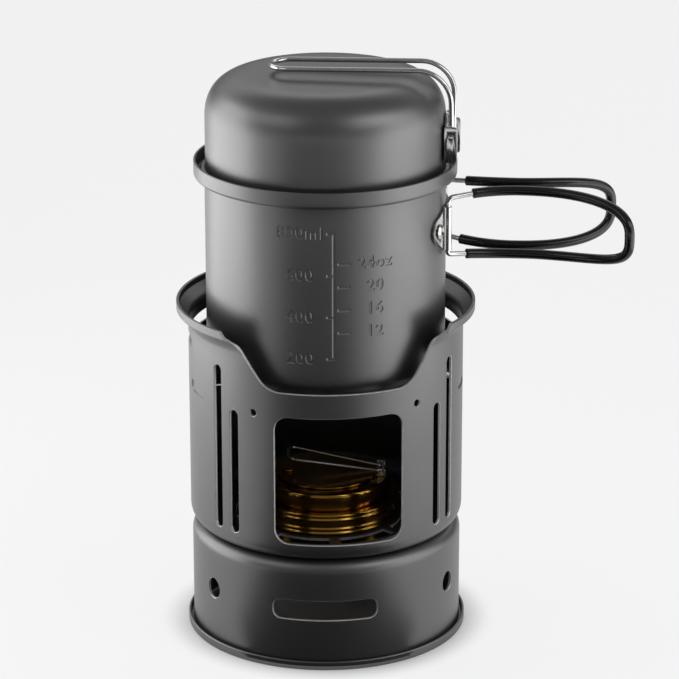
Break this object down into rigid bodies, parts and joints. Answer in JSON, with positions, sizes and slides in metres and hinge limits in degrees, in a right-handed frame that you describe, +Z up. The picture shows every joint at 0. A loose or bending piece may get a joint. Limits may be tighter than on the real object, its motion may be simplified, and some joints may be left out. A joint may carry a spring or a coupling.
{
  "type": "alcohol spirit stove",
  "caption": "Stacking camp stove: slotted base stand, windscreen with window, brass spirit burner with flame regulator, cooking pot with folding wire handles and bowl lid.",
  "frame": {"origin": "on the stove's upright axis, at the ground under the base stand", "axes": "+Z up along the stove's axis, +X towards the pot's folding handles, -Y towards the windscreen's window"},
  "size_m": [0.2116, 0.1383, 0.2799],
  "materials": {
    "anodised": "matte hard-anodised grey",
    "stainless": "polished",
    "sleeve": "glossy black coating",
    "brass": "polished",
    "cotton": "felted"
  },
  "bodies": {
    "base": {"base_stand": "anodised"},
    "windscreen": {"windscreen_shell": "anodised", "pot_support_left": "stainless", "pot_support_right": "stainless", "pot_support_rear": "stainless"},
    "burner": {"burner_body": "brass", "burner_jet_ring": "brass", "burner_wick": "cotton"},
    "regulator": {"regulator_ring": "brass", "regulator_hinge": "stainless", "regulator_pivot": "brass"},
    "shutter": {"regulator_shutter": "brass"},
    "regulator_wire": {"regulator_handle": "stainless"},
    "pot": {"pot_shell": "anodised", "pot_bracket": "stainless", "pot_rivet_front": "stainless", "pot_rivet_centre": "stainless", "pot_rivet_rear": "stainless"},
    "front_handle": {"handle_wire_front": "stainless", "handle_sleeve_front": "sleeve"},
    "rear_handle": {"handle_wire_rear": "stainless", "handle_sleeve_rear": "sleeve"},
    "lid": {"lid_bowl": "anodised", "lid_bracket": "stainless", "lid_rivet_lower": "stainless", "lid_rivet_upper": "stainless"},
    "lid_handle": {"lid_handle_wire": "stainless"}
  },
  "joints": [
    {"name": "windscreen_lift", "type": "slide", "parent": "base", "child": "windscreen", "axis": [0, 0, 1], "range_m": [0, 0.06]},
    {"name": "burner_lift", "type": "slide", "parent": "windscreen", "child": "burner", "axis": [0, 0, 1], "range_m": [0, 0.025]},
    {"name": "regulator_lift", "type": "slide", "parent": "burner", "child": "regulator", "axis": [0, 0, 1], "range_m": [0, 0.012]},
    {"name": "shutter_swing", "type": "hinge", "parent": "regulator", "child": "shutter", "pos_m": [-0.01844, 0.00145, 0.0748], "axis": [0, 0, 1], "range_deg": [0, 75]},
    {"name": "regulator_wire_fold", "type": "hinge", "parent": "regulator", "child": "regulator_wire", "pos_m": [0.02672, -0.0021, 0.0767], "axis": [0.0785, 0.9969, 0], "range_deg": [0, 90]},
    {"name": "pot_lift", "type": "slide", "parent": "windscreen", "child": "pot", "axis": [0, 0, 1], "range_m": [0, 0.12]},
    {"name": "front_handle_swing", "type": "hinge", "parent": "pot", "child": "front_handle", "pos_m": [0.05614, -0.01878, 0.2036], "axis": [0, 0, 1], "range_deg": [-124, 5]},
    {"name": "rear_handle_swing", "type": "hinge", "parent": "pot", "child": "rear_handle", "pos_m": [0.05756, 0.01382, 0.2036], "axis": [0, 0, 1], "range_deg": [-5, 138]},
    {"name": "lid_lift", "type": "slide", "parent": "pot", "child": "lid", "axis": [0, 0, 1], "range_m": [0, 0.08]},
    {"name": "lid_handle_fold", "type": "hinge", "parent": "lid", "child": "lid_handle", "pos_m": [0.0587, -0.01194, 0.2471], "axis": [0.1994, 0.9799, 0], "range_deg": [0, 105]}
  ]
}
